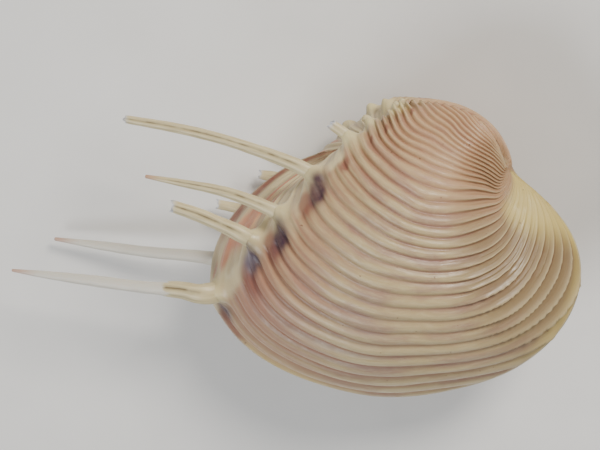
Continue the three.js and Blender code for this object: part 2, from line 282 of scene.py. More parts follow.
# The table and the lights, in metres and watts. Both lights are round and aim at the shell
TABLE_HALF = 1.5
LIGHTS_AIM = (0.0, 0.0, 0.015)
KEY_LIGHT = dict(place=(0.40, 0.34, 0.42), size=0.20, power=5.1, tint=(1.0, 0.96, 0.90))
FILL_LIGHT = dict(place=(-0.5, -0.25, 0.6), size=0.5, power=4.7, tint=(0.94, 0.97, 1.0))
ROOM_TINT = (0.82, 0.84, 0.88, 1)
ROOM_STRENGTH = 0.3


# Formula helpers

def smooth(x, low, high):
    share = np.clip((x - low) / (high - low), 0, 1)
    return share * share * (3 - 2 * share)


def bell(x, middle, width):
    return np.exp(-(((x - middle) / width) ** 2))


def wander(x, y, seed):
    """Slow, repeatable unevenness between about -1 and 1."""
    return (np.sin(1.7 * x + 2.9 * y + 1.3 * seed) + np.sin(3.1 * x - 1.9 * y + 2.1 * seed)
            + np.sin(0.9 * x + 4.3 * y + 3.7 * seed)) / 3


# The growth formula

def margin_radius(angle):
    count = len(MARGIN_RADII)
    total = np.zeros_like(angle)
    for i, radius in enumerate(MARGIN_RADII):
        x = angle - i * 2 * math.pi / count
        half = np.sin(x / 2)
        near = np.abs(half) < 1e-9
        weight = np.sin(count * x / 2) * np.cos(x / 2) / (count * np.where(near, 1, half))
        total += radius * np.where(near, 1, weight)
    return total


def shrink_exponent(growth):
    late = np.maximum(0, growth - BEAK_START)
    return SHRINK_RATE * growth - 0.5 * SHRINK_SLOWING * growth ** 2 + BEAK_SHRINK * late ** 2


def leaned(point, growth, angle):
    """Moves places for the forward lean of the beaks and the sunken flank before them."""
    built = 1 - np.exp(-growth / LEAN_GROWTH)
    front = smooth(angle, *LEAN_FRONT)
    share = built * smooth(angle, *LEAN_BACK)
    share = share * (LEAN_SHARE_BEHIND + (1 - LEAN_SHARE_BEHIND) * front)
    height = point[..., 2]
    share = share * np.exp(-((height / LEAN_HEIGHT) ** 2))
    sink = FLANK_SINK * bell(growth, *FLANK_SINK_GROWTH) * bell(angle, *FLANK_SINK_ANGLE)
    sink = sink * smooth(height, 0, FLANK_SINK_HEIGHT)
    return point + np.stack([BEAK_LEAN[0] * share, BEAK_LEAN[1] * share, -sink], -1)


def outside(growth, angle):
    """Places on the outside of the right valve, before its ridges."""
    growth, angle = np.broadcast_arrays(np.asarray(growth, float), np.asarray(angle, float))
    radius = margin_radius(angle)
    x = radius * np.cos(angle) * np.exp(LENGTH_DRIFT * growth)
    x = x + MARGIN_MIDDLE[0] + MIDDLE_DRIFT[0] * growth
    y = radius * np.sin(angle) * np.exp(HEIGHT_DRIFT * growth)
    y = y + MARGIN_MIDDLE[1] + MIDDLE_DRIFT[1] * growth
    heading = AXIS_HEADING + AXIS_HEADING_DRIFT * growth
    lift = AXIS_LIFT + AXIS_LIFT_DRIFT * growth
    flat = np.cos(lift)
    axis = np.stack([np.cos(heading) * flat, np.sin(heading) * flat, np.sin(lift)], -1)
    point = np.stack([x, y, np.zeros_like(x)], -1)
    turn = -growth[..., None]
    along = (axis * point).sum(-1, keepdims=True) * axis
    turned = point * np.cos(turn) + np.cross(axis, point) * np.sin(turn)
    turned = turned + along * (1 - np.cos(turn))
    return leaned(turned * np.exp(-shrink_exponent(growth))[..., None], growth, angle)


def outward(growth, angle):
    """Unit normals of the outside."""
    step = 1e-3
    growth = np.maximum(growth, 2 * step)
    along = outside(growth, angle + step) - outside(growth, angle - step)
    across = outside(growth + step, angle) - outside(growth - step, angle)
    normal = np.cross(along, across)
    return normal / np.linalg.norm(normal, axis=-1, keepdims=True)


def ridge_spacing(growth, angle):
    """Distance from each place to the same place one ridge on."""
    growth = np.minimum(growth, BEAK_END - RIDGE_STEP)
    return np.linalg.norm(outside(growth + RIDGE_STEP, angle) - outside(growth, angle), axis=-1)


def line_ends(growths):
    """Angles where each growth line rises through the joint's plane and sinks back to it."""
    samples = np.linspace(0, 2 * math.pi, 1441)
    step = samples[1]
    height = outside(np.maximum(growths, 1e-4)[:, None], samples[None, :])[..., 2]
    backs = []
    fronts = []
    for z in height:
        rise = np.nonzero((z[:-1] < 0) & (z[1:] >= 0))[0][0]
        sink = np.nonzero((z[:-1] >= 0) & (z[1:] < 0))[0][0]
        back = samples[rise] + step * z[rise] / (z[rise] - z[rise + 1])
        front = samples[sink] + step * z[sink] / (z[sink] - z[sink + 1])
        backs.append(back)
        fronts.append(front if front > back else front + 2 * math.pi)
    return np.array(backs), np.array(fronts)


def line_angles(growths, columns):
    """For each growth line, angles that split it into equal lengths."""
    backs, fronts = line_ends(growths)
    share = np.linspace(0, 1, 401)
    fine = backs[:, None] + (fronts - backs)[:, None] * share
    points = outside(growths[:, None], fine)
    steps = np.linalg.norm(np.diff(points, axis=1), axis=-1)
    lengths = np.concatenate([np.zeros((len(growths), 1)), np.cumsum(steps, axis=1)], axis=1)
    rows = []
    for length, line in zip(lengths, fine):
        rows.append(np.interp(np.linspace(0, length[-1], columns), length, line))
    return np.array(rows)


# The surface of a valve

def keel_place(growth):
    """Where on the margin the keel with the spines runs."""
    place = KEEL_PLACE
    for shift, first, last in KEEL_SHIFTS:
        place = place + shift * smooth(growth, first, last)
    return place


def ridge_number(growth, angle):
    """Whole numbers at the grooves. Towards the front end the ridges spread and run out."""
    spread = smooth(angle, *SPREAD_ANGLES) * (SPREAD - SPREAD_LOSS * growth)
    slant = SLANT * smooth(growth, *SLANT_GROWTHS) * bell(angle, *SLANT_ANGLE)
    age = growth + spread - slant - FIRST_GROOVE
    number = age / (RIDGE_STEP - RIDGE_CROWDING * age)
    number = number + FINE_RIDGE_SHARE * np.maximum(0, number - FINE_RIDGE)
    uneven = 0.10 * wander(1.1 * angle, 2.0 * growth, 1)
    uneven = uneven + 0.05 * wander(3.0 * angle, 5.0 * growth, 2)
    return number + uneven * smooth(growth, 0.05, 0.4)


def patches(growth, angle, places):
    """Soft spots at the given places, from 0 to 1."""
    total = np.zeros_like(growth)
    for middle, place, growth_width, angle_width in places:
        total = total + bell(growth, middle, growth_width) * bell(angle, place, angle_width)
    return np.clip(total, 0, 1)


def regions(growth, angle):
    """Weights, from 0 to 1, of the parts of the surface."""
    part = {}
    off_keel = angle - keel_place(growth)
    part["off_keel"] = off_keel
    part["slope"] = 1 - smooth(off_keel, *SLOPE_EDGE)
    part["rear"] = (1 - smooth(angle, *REAR_ENDS)) * (1 - part["slope"])
    part["front"] = smooth(angle, *FRONT_BEGINS)
    part["lunule"] = smooth(angle, *LUNULE_BEGINS) * (1 - smooth(growth, *LUNULE_FADES))
    part["umbo"] = smooth(growth, *UMBO_BEGINS)

    # Stretches of the keel between the spines
    nearest = np.min([np.abs(growth - root) / (0.05 + 0.02 * root) for root in SPINE_ROOTS], axis=0)
    part["between"] = smooth(nearest, 0.9, 1.8) * (1 - smooth(growth, *WEBS_END))
    return part


def blade_form(place, middle, flanks):
    """Cross section of a thin upright blade, steeper on the side of the rim."""
    return np.exp(-np.abs(place - middle) / np.where(place < middle, *flanks))


def lamellae(growth, angle, part, number):
    """Thin upright blades at the front end, with weaker second ones between some of them."""
    ridge = np.floor(number)
    place = number - ridge
    second = blade_form(place, SECOND_BLADE_PLACE, SECOND_BLADE_FLANKS)
    second = second * smooth(wander(2.5 * angle, 3.1 * ridge, 7), -0.2, 0.5)
    second = SECOND_BLADE * second * smooth(growth, 0.15, 0.4) * (1 - part["umbo"])
    return np.maximum(blade_form(place, BLADE_PLACE, BLADE_FLANKS), second)


def groove_form(angle, part, number):
    """Depth of the grooves between the ridges, about 1 in their middle."""
    nearest = np.round(number)
    strength = 0.85 + 0.3 * np.sin(12.9898 * nearest + 1.7 * angle)
    half_width = GROOVE_HALF_WIDTH
    for region, wider in GROOVE_WIDER.items():
        half_width = half_width + wider * part[region]
    return strength * np.exp(-((np.abs(number - nearest) / half_width) ** 1.7))


def split_form(angle, part, number):
    """Depth of the finer grooves that split the cords towards the spines."""
    halves = 2 * number
    nearest = np.round(halves)
    reach = SPLIT_REACH + 0.22 * np.sin(7.3 * np.floor(number))
    split = np.abs(nearest % 2) * np.exp(-(((halves - nearest) / SPLIT_HALF_WIDTH) ** 2))
    split = split * (1 - smooth(angle, reach - 0.4, reach))
    return split * (1 - part["slope"]) * (1 - part["umbo"])


def keel_and_folds(growth, angle, part):
    """Height in mm of the keel, the spines' collars, the folds behind and the stained hollows."""
    off_keel = part["off_keel"]
    fold_mask = smooth(-off_keel, *FOLD_NEAR_END) * (1 - smooth(-off_keel, *FOLD_FAR_END))
    height = KEEL_HEIGHT * bell(off_keel, *KEEL_BAND)
    for root in SPINE_ROOTS:
        collar = bell(growth, root, 0.045 + 0.012 * root) * bell(off_keel, *COLLAR_BAND)
        height = height + COLLAR_HEIGHT * collar
    for fold in FOLDS:
        height = height + FOLD_HEIGHT * bell(growth, fold, 0.022 + 0.01 * fold) * fold_mask
    height = height - STAIN_DEPTH * patches(growth, angle, STAINS)
    height = height + UNEVENNESS * wander(4 * angle, 9 * growth, 3)
    return height * np.exp(-shrink_exponent(growth))


def relief(growth, angle):
    """Height of the ridges and folds in mm, the mask of the grooves' colour and of the painted
    shadow under the front blades, the weights of the parts of the surface, among them the
    painted highlight on the blades, and the ridge numbers."""
    part = regions(growth, angle)
    number = ridge_number(growth, angle)
    groove = groove_form(angle, part, number)
    split = split_form(angle, part, number)
    blade = lamellae(growth, angle, part, number)
    cord = 0.5 - 0.5 * np.cos(2 * math.pi * number)

    # Smooth webs lie on the keel between the spines, and the lunule is smooth too
    off_keel = part["off_keel"]
    web = smooth(off_keel, *WEB_NEAR_EDGE) * (1 - smooth(off_keel, *WEB_FAR_EDGE))
    web = web * part["between"]
    calm = (1 - 0.85 * part["lunule"]) * (1 - 0.95 * web)
    flank = cord * (CORD + CORD_MORE_AT_REAR * part["rear"]) - GROOVE * groove - SPLIT * split
    shape = flank * (1 - part["front"]) + (BLADE * blade - BLADE_FOOT) * part["front"]
    shape = shape + CORD_MORE_BEFORE_BEAK * part["umbo"] * part["front"] * cord ** 2
    shape = shape * (1 - 0.85 * part["slope"]) * calm
    spacing = np.minimum(ridge_spacing(growth, angle), WIDEST_RIDGE)
    height = shape * spacing * smooth(growth, 0.0, 0.03)
    height = height + keel_and_folds(growth, angle, part)

    # Beads on the keel by the beak
    bead = part["umbo"] * bell(off_keel, *BEAD_BAND) * cord ** 2
    bead = bead * smooth(growth, *BEADS_BEGIN) * (1 - smooth(growth, *BEADS_END))
    height = height + BEAD_HEIGHT * bead

    # The grooves' own colour, and painted shadow: dark lines under the front end's blades
    place = number - np.floor(number)
    painted_blade_shadow = bell(place, 0.06, 0.11) + bell(place, 1.06, 0.11)
    valley = groove * (1 - part["front"]) + painted_blade_shadow * part["front"]
    groove_tint_and_blade_shadow = np.maximum(valley, 0.85 * split) * calm * (1 - 0.8 * part["slope"])
    part["web"] = web
    part["crest"] = cord * (1 - part["front"]) * (1 - groove_tint_and_blade_shadow)
    # Painted highlight: ivory along the edges of the front end's blades
    part["blade"] = blade ** 2 * part["front"] * calm
    return height, groove_tint_and_blade_shadow, part, number


def markings(growth, angle, part, number, groove_tint_and_blade_shadow):
    """Masks for the colours of the shell and for the painted shadow and highlight of the front
    blades, from 0 to 1, and the place of each vertex in ridges and round the margin."""
    along_back = 1 - smooth(angle, 2.66, 2.84)
    mark = {}
    mark["stain"] = smooth(patches(growth, angle, STAINS), 0.0, 0.75)
    mark["blue"] = patches(growth, angle, BLUE_STAINS)
    mark["rust"] = smooth(patches(growth, angle, RUSTS), 0.03, 0.7)
    mark["salmon"] = smooth(patches(growth, angle, PATCHES), 0.03, 0.5)

    # A red strip along the hinge edge and the back of the rim
    rim = 1 - smooth(growth, 0.07, 0.13)
    strip = rim * along_back + 0.7 * (1 - smooth(angle, 2.0, 2.25))
    mark["strip"] = np.clip(strip, 0, 1)

    # A pink flush on the flank beside the lower spines
    flush = bell(angle, 3.30, 0.16) * bell(growth, 0.42, 0.20)
    flush = flush + 0.45 * bell(angle, 3.55, 0.35) * bell(growth, 0.6, 0.6)
    mark["flush"] = np.clip(flush * (1 - part["slope"]), 0, 1)

    # Pale webs and folds
    fold = np.max([bell(growth, fold, 0.03) for fold in FOLDS], axis=0) * part["slope"]
    bloom = part["web"] + 0.8 * fold + 0.45 * part["slope"]
    mark["bloom"] = np.clip(bloom + bell(growth, 0.18, 0.045) * along_back, 0, 1)

    # Yellow in the lunule and along the rim
    lemon = part["lunule"] + 0.75 * bell(growth, 0.03, 0.07) * bell(angle, 3.6, 0.35)
    lemon = lemon + 0.5 * bell(growth, 0.04, 0.06) * part["front"]
    mark["lemon"] = np.clip(lemon, 0, 1)

    # What follows the parts of the surface
    mark["blush"] = part["umbo"] * smooth(angle, 3.3, 3.8)
    # The grooves' own colour, and the painted shadow under the front blades
    mark["groove_tint_and_blade_shadow"] = np.clip(groove_tint_and_blade_shadow, 0, 1)
    mark["crest"] = np.clip(part["crest"], 0, 1)
    # The painted highlight on the front blades' edges
    mark["blade"] = part["blade"]
    mark["front"] = part["front"]
    mark["rear"] = np.maximum(part["rear"], part["umbo"])
    mark["edge"] = 1 - smooth(growth, 0.004, 0.014)
    mark["ridge"] = number
    mark["around"] = angle
    return mark


def to_scene(points, side):
    """Shell frame in mm to the scene in metres. Side is 1 for the right valve, -1 for the left."""
    points = np.array(points, float)
    points[..., 2] = (points[..., 2] + VALVE_GAP / 2) * side
    turn = np.array(Euler([math.radians(a) for a in REST_TILT_DEGREES] + [0], "XYZ").to_matrix())
    return (points - np.array(REST_POINT)) @ turn.T * MM


def new_mesh(name, vertices, faces, marks):
    """A smooth piece of the scene. Marks are numbers at its vertices that the colours use."""
    mesh = bpy.data.meshes.new(name)
    mesh.from_pydata(vertices.tolist(), [], faces)
    for mark, values in marks.items():
        layer = mesh.attributes.new(mark, "FLOAT", "POINT")
        layer.data.foreach_set("value", np.asarray(values, np.float32))
    mesh.polygons.foreach_set("use_smooth", [True] * len(mesh.polygons))
    mesh.update()
    piece = bpy.data.objects.new(name, mesh)
    bpy.context.scene.collection.objects.link(piece)
    return piece


def fillet(points, normals, spines):
    """Raises the surface where spines meet it, so that they run together. The second result
    is the nearness of a spine, from 0 to 1."""
    raised = np.zeros(points.shape[:-1])
    nearness = np.zeros(points.shape[:-1])
    for spine in spines:
        line, _ = spine_line(spine)
        near = np.linalg.norm(points - line[0, :3], axis=-1) < FILLET_REACH
        start = points[near]
        rise = np.zeros(len(start))
        width = FILLET_WIDTH * min(1, line[0, 3] / FILLET_FULL_FROM)
        for _ in range(FILLET_ROUNDS):
            place = start + normals[near] * rise[:, None]
            away = np.linalg.norm(place[:, None, :] - line[None, :, :3], axis=-1) - line[:, 3] / 2
            away = away.min(axis=1)
            blend = np.clip(width - np.abs(rise - away), 0, None) ** 2 / (4 * width)
            rise = rise - np.minimum(rise, away) + blend
            rise = np.clip(rise, 0, FILLET_HEIGHT_SHARE * width)
        raised[near] = np.maximum(raised[near], rise)
        share = np.clip(rise / (FILLET_COLOURED_SHARE * width), 0, 1)
        nearness[near] = np.maximum(nearness[near], share)
    return points + normals * raised[..., None], nearness


def hollow(loop, rim, count):
    """The inside of a valve: loops of vertices that shrink inwards from the rim, and their
    faces. Rim holds the rim's vertex numbers, and count is the number of the next vertex."""
    middle = np.array(HOLLOW_MIDDLE)
    vertices = []
    faces = []
    previous = rim
    for k in range(HOLLOW_LOOPS):
        lean = math.radians(HOLLOW_END_DEGREES) * k / (HOLLOW_LOOPS - 1)
        inner = middle + (loop - middle) * HOLLOW_SHARE * math.cos(lean)
        inner[:, 2] = HOLLOW_DEPTH * math.sin(lean)
        vertices.append(inner)
        fresh = count + np.arange(len(rim))
        count += len(rim)
        after = np.roll(previous, -1)
        after_fresh = np.roll(fresh, -1)
        faces += np.stack([previous, fresh, after_fresh, after], -1).tolist()
        previous = fresh
    vertices.append(middle[None, :] + np.array([[0, 0, HOLLOW_DEPTH]]))
    faces += [[int(a), count, int(b)] for a, b in zip(previous, np.roll(previous, -1))]
    return vertices, faces


def make_valve(name, side, spines):
    growths = np.linspace(0, BEAK_END, VALVE_ROWS)
    angles = line_angles(growths, VALVE_COLUMNS)
    growth = np.broadcast_to(growths[:, None], angles.shape)
    height, groove_tint_and_blade_shadow, part, number = relief(growth, angles)
    marks = markings(growth, angles, part, number, groove_tint_and_blade_shadow)
    normals = outward(growth, angles)
    points = outside(growth, angles) + normals * height[..., None]
    points, marks["collar"] = fillet(points, normals, spines)

    # The valve ends in the joint's plane
    points[..., 2] = np.maximum(points[..., 2], 0)
    points[0, :, 2] = 0
    points[:, 0, 2] = 0
    points[:, -1, 2] = 0

    rows, columns = angles.shape
    index = np.arange(rows * columns).reshape(rows, columns)
    corners = [index[:-1, :-1], index[:-1, 1:], index[1:, 1:], index[1:, :-1]]
    faces = np.stack(corners, -1).reshape(-1, 4).tolist()
    tip = rows * columns
    faces += [[int(index[-1, c]), int(index[-1, c + 1]), tip] for c in range(columns - 1)]
    skin = np.concatenate([points.reshape(-1, 3), 0.5 * (points[-1, 0] + points[-1, -1])[None, :]])

    rim = np.concatenate([index[0, :], index[1:, -1], [tip], index[:0:-1, 0]])
    inside_vertices, inside_faces = hollow(skin[rim], rim, len(skin))
    faces += inside_faces
    if side < 0:
        faces = [face[::-1] for face in faces]
    vertices = to_scene(np.concatenate([skin] + inside_vertices), side)

    # The worn flat on which the shell lies
    vertices[:, 2] = np.maximum(vertices[:, 2], 0)

    # The inside has no markings
    padding = len(vertices) - rows * columns
    columns_of_marks = {mark: np.pad(values.ravel(), (0, padding)) for mark, values in marks.items()}
    return new_mesh(name, vertices, faces, columns_of_marks)


# Spines

def smooth_line(points, count):
    """Evenly spaced places on a Catmull-Rom curve through the points."""
    points = np.asarray(points, float)
    padded = np.concatenate([[2 * points[0] - points[1]], points, [2 * points[-1] - points[-2]]])
    places = []
    for i in range(len(points) - 1):
        a, b, c, d = padded[i:i + 4]
        t = np.linspace(0, 1, 40, endpoint=i == len(points) - 2)[:, None]
        places.append(0.5 * (2 * b + (c - a) * t + (2 * a - 5 * b + 4 * c - d) * t ** 2
                             + (3 * b - a - 3 * c + d) * t ** 3))
    line = np.concatenate(places)
    steps = np.linalg.norm(np.diff(line[:, :3], axis=0), axis=1)
    lengths = np.concatenate([[0], np.cumsum(steps)])
    wanted = np.linspace(0, lengths[-1], count)
    return np.stack([np.interp(wanted, lengths, values) for values in line.T], -1), wanted


def spine_line(spine):
    """The middle line of a spine with its width, and the length up to each place."""
    root = np.array(spine["root"])
    height = spine["height"]
    path = spine["path"]
    keel = keel_place(root)
    foot = outside(root, keel) - FOOT_DEPTH * outward(root, keel)
    points = [[*foot, path[0][2]]] + [[x, y, height, width] for x, y, width in path]
    rough_length = sum(math.dist(a[:3], b[:3]) for a, b in zip(points, points[1:]))
    rings = max(SPINE_LEAST_RINGS, int(rough_length * SPINE_RINGS_PER_MM))
    return smooth_line(points, rings)


def spine_section(spine, seed, line, along):
    """The section of a spine at each ring: the angles round it, how far out it reaches across
    and upwards, and the masks of its gutters and of its chalky core."""
    turn = np.arange(SPINE_SIDES) * 2 * math.pi / SPINE_SIDES
    sides = turn[None, :]
    place = along[:, None] / along[-1]
    flare = 1 + FLARE * np.exp(-((along[:, None] / FLARE_LENGTH) ** 2))
    width = SPINE_WIDENING * line[:, 3][:, None] * flare
    gutter = sum(share * bell(sides, middle, half) for middle, half, share in GUTTERS)
    gutter = gutter * smooth(along[:, None], *GUTTER_START)
    chalk = np.zeros_like(gutter)
    if "sheath" in spine:
        jag = 0.012 * np.sin(3 * sides + seed) + 0.008 * np.sin(7 * sides + 2 * seed)
        chalk = smooth(place - jag, spine["sheath"], spine["sheath"] + SHEATH_EDGE)
        gutter = gutter * (1 - chalk)
        width = width * (1 + SHEATH_THICKNESS * (1 - chalk))
    if spine["end"] == "tip":
        gutter = gutter * (1 - smooth(place, *GUTTER_RUNS_OUT))
    ribbing = 1 + 0.02 * np.cos(9 * sides) * (1 - chalk)
    ribbing = ribbing + 0.03 * wander(2 * sides, 0.6 * along[:, None], seed)
    flatness = FLATNESS + CHALK_ROUNDER * chalk
    out_across = np.cos(sides) * width / 2 * ribbing
    out_upward = np.sin(sides) * width * flatness / 2 * ribbing * (1 - GUTTER_DEPTH * gutter)
    return turn, out_across, out_upward, gutter, chalk


def make_spine(spine, seed):
    """Vertices, faces and colour masks of one spine, in the right valve's frame."""
    line, along = spine_line(spine)
    whole = spine["end"] == "tip"
    broken = spine["end"] == "broken"
    tangent = np.gradient(line[:, :3], axis=0)
    tangent /= np.linalg.norm(tangent, axis=1, keepdims=True)
    across = np.cross([0, 0, 1], tangent)
    across /= np.linalg.norm(across, axis=1, keepdims=True)
    upward = np.cross(tangent, across)

    turn, out_across, out_upward, gutter, chalk = spine_section(spine, seed, line, along)
    rings = (line[:, None, :3] + across[:, None, :] * out_across[..., None]
             + upward[:, None, :] * out_upward[..., None])
    centre, end_width = line[-1, :3], line[-1, 3]
    if broken:
        ragged = 0.16 * np.sin(2 * turn + seed) + 0.10 * np.sin(5 * turn + 3 * seed)
        rings[-1] += tangent[-1] * (ragged * end_width)[:, None]

    # The end: a shallow pit in a broken spine, a rounded tip in any other
    closing = BROKEN_END if broken else TIP_END
    close = []
    for size, push in closing:
        close.append(centre + (rings[-1] - centre) * size + tangent[-1] * push * end_width)
    last_place = centre[None, :] + tangent[-1] * closing[-1][1] * end_width
    vertices = np.concatenate([rings.reshape(-1, 3)] + close + [last_place])
    count = len(rings) + len(close)
    index = np.arange(count * SPINE_SIDES).reshape(count, SPINE_SIDES)
    after = np.roll(index, -1, axis=1)
    faces = np.stack([index[:-1], after[:-1], after[1:], index[1:]], -1).reshape(-1, 4).tolist()
    faces += [[int(a), int(b), count * SPINE_SIDES] for a, b in zip(index[-1], after[-1])]
    faces.append([int(i) for i in index[0][::-1]])

    def column(values, end_value):
        grid = np.broadcast_to(values, gutter.shape).reshape(-1)
        return np.concatenate([grid, np.full(len(close) * SPINE_SIDES + 1, float(end_value))])

    length = along[-1]
    place = along[:, None] / length
    marks = {
        "gutter": column(gutter, 0),
        "chalk": column(chalk, chalk[-1].mean()),
        "tip": column(whole * smooth(place, 0.86, 1.0), whole),
        "broken": column(broken * smooth(along[:, None], length - 0.5, length), broken),
        "along": column(along[:, None], length),
        "side": column(turn[None, :], 0),
    }
    return vertices, faces, marks


def make_spines(name, spines, side):
    vertices = []
    faces = []
    marks = {}
    count = 0
    for i, spine in enumerate(spines):
        points, spine_faces, spine_marks = make_spine(spine, i + 1.0)
        vertices.append(points)
        faces += [[corner + count for corner in face] for face in spine_faces]
        for mark, values in spine_marks.items():
            marks.setdefault(mark, []).append(values)
        count += len(points)
    if side < 0:
        faces = [face[::-1] for face in faces]
    marks = {mark: np.concatenate(values) for mark, values in marks.items()}
    return new_mesh(name, to_scene(np.concatenate(vertices), side), faces, marks)


# The ligament

def make_ligament():
    """A dark cord over the joint behind the beaks, thinner at its ends."""
    growths = np.linspace(LIGAMENT_START, LIGAMENT_END, LIGAMENT_RINGS)
    backs, _ = line_ends(growths)
    edge = outside(growths, backs)
    lift = outward(growths, backs) * [1, 1, 0]
    lift /= np.linalg.norm(lift, axis=1, keepdims=True)
    centre = edge + lift * LIGAMENT_STAND_OFF
    centre[:, 2] = 0
    tangent = np.gradient(centre, axis=0)
    tangent /= np.linalg.norm(tangent, axis=1, keepdims=True)
    upward = np.cross(tangent, [0, 0, 1])
    upward *= np.sign((upward * lift).sum(1, keepdims=True))

    place = np.linspace(0, 1, LIGAMENT_RINGS)[:, None]
    fullness = (1 - np.abs(2 * place - 1) ** 5) ** 0.5 * 0.9 + 0.1
    turn = (np.arange(LIGAMENT_SIDES) * 2 * math.pi / LIGAMENT_SIDES)[None, :]
    fibres = 1 + 0.03 * np.sin(11 * turn + 2 * np.sin(9 * place)) + 0.03 * wander(turn, 12 * place, 5)
    wide = np.cos(turn) * LIGAMENT_WIDTH / 2 * fullness * fibres
    tall = np.sin(turn) * LIGAMENT_HEIGHT / 2 * fullness * fibres
    rings = centre[:, None, :] + upward[:, None, :] * tall[..., None] + wide[..., None] * [0, 0, 1]
    index = np.arange(rings[..., 0].size).reshape(rings.shape[:2])
    after = np.roll(index, -1, axis=1)
    faces = np.stack([index[:-1], after[:-1], after[1:], index[1:]], -1).reshape(-1, 4).tolist()
    faces += [index[0][::-1].tolist(), index[-1].tolist()]
    points = rings.reshape(-1, 3) - [0, 0, VALVE_GAP / 2]
    return new_mesh("ligament_cord", to_scene(points, 1), faces, {})


# Materials

def colour(red, green, blue):
    """A colour from 0 to 255 as the screen shows it, made linear."""
    def linear(value):
        value = value / 255
        return value / 12.92 if value <= 0.04045 else ((value + 0.055) / 1.055) ** 2.4
    return (linear(red), linear(green), linear(blue), 1)


class Paint:
    """Builds one material's nodes."""

    def __init__(self, name):
        self.material = bpy.data.materials.new(name)
        self.material.use_nodes = True
        self.nodes = self.material.node_tree.nodes
        self.links = self.material.node_tree.links
        self.shader = self.nodes["Principled BSDF"]

    def put(self, socket, value):
        if isinstance(value, bpy.types.NodeSocket):
            self.links.new(value, socket)
        else:
            socket.default_value = value

    def mark(self, name):
        node = self.nodes.new("ShaderNodeAttribute")
        node.attribute_name = name
        return node.outputs["Fac"]

    def math(self, operation, a, b):
        node = self.nodes.new("ShaderNodeMath")
        node.operation = operation
        self.put(node.inputs[0], a)
        self.put(node.inputs[1], b)
        return node.outputs[0]

    def added(self, a, b):
        return self.math("ADD", a, b)

    def scaled(self, value, factor):
        return self.math("MULTIPLY", value, factor)

    def mix(self, factor, a, b):
        node = self.nodes.new("ShaderNodeMix")
        node.data_type = "RGBA"
        self.put(node.inputs["Factor"], factor)
        self.put(node.inputs["A"], a)
        self.put(node.inputs["B"], b)
        return node.outputs["Result"]

    def over(self, base, mark, strength, tint):
        """Lays a tint over the base where a mark of the mesh is."""
        return self.mix(self.scaled(self.mark(mark), strength), base, tint)

    def vector(self, x, y, z):
        node = self.nodes.new("ShaderNodeCombineXYZ")
        for socket, value in zip(node.inputs, (x, y, z)):
            self.put(socket, value)
        return node.outputs[0]

    def place(self):
        return self.nodes.new("ShaderNodeTexCoord").outputs["Object"]

    def noise(self, vector, scale, detail, roughness=0.5):
        node = self.nodes.new("ShaderNodeTexNoise")
        self.links.new(vector, node.inputs["Vector"])
        node.inputs["Scale"].default_value = scale
        node.inputs["Detail"].default_value = detail
        node.inputs["Roughness"].default_value = roughness
        return node.outputs["Fac"]

    def ranged(self, value, low, high, to_low=0.0, to_high=1.0):
        node = self.nodes.new("ShaderNodeMapRange")
        self.put(node.inputs["Value"], value)
        node.inputs["From Min"].default_value = low
        node.inputs["From Max"].default_value = high
        node.inputs["To Min"].default_value = to_low
        node.inputs["To Max"].default_value = to_high
        return node.outputs["Result"]

    def bump(self, height, distance, strength):
        node = self.nodes.new("ShaderNodeBump")
        node.inputs["Strength"].default_value = strength
        node.inputs["Distance"].default_value = distance
        self.links.new(height, node.inputs["Height"])
        self.links.new(node.outputs["Normal"], self.shader.inputs["Normal"])

    def glow_through(self, depth):
        """A little light goes into the shell and comes out warmer."""
        self.shader.inputs["Subsurface Weight"].default_value = 0.1
        self.shader.inputs["Subsurface Radius"].default_value = (1.0, 0.6, 0.35)
        self.shader.inputs["Subsurface Scale"].default_value = depth


# The colours of the shell
CREAM = colour(174, 152, 110)
IVORY = colour(210, 194, 152)
LILAC = colour(154, 122, 106)
PINK_GROOVE = colour(156, 108, 84)
LILAC_GROOVE = colour(146, 106, 94)
# Olive of the painted shadow under the front blades, used for the small dark specks too
OLIVE_SHADOW_AND_SPECKS = colour(118, 84, 62)
FRONT = colour(128, 104, 74)
SALMON = colour(190, 118, 92)
FLUSH = colour(176, 120, 98)
STAIN = colour(70, 46, 56)
BLUE = colour(128, 120, 134)
RUST = colour(128, 72, 60)
LEMON = colour(212, 190, 110)
BLUSH = colour(188, 146, 112)
STRIP = colour(128, 74, 62)

# The colours of the spines, the ligament and the table
SPINE_CREAM = colour(206, 192, 144)
SPINE_LIGHT = colour(208, 194, 152)
SPINE_DARK = colour(186, 170, 128)
CHALK = colour(206, 200, 186)
HORN = colour(96, 76, 40)
TIP = colour(182, 134, 110)
BLUE_WHITE = colour(206, 210, 222)
CORD_DARK = colour(44, 28, 18)
CORD_LIGHT = colour(92, 62, 36)
TABLE_DARK = colour(222, 220, 216)
TABLE_LIGHT = colour(228, 226, 222)


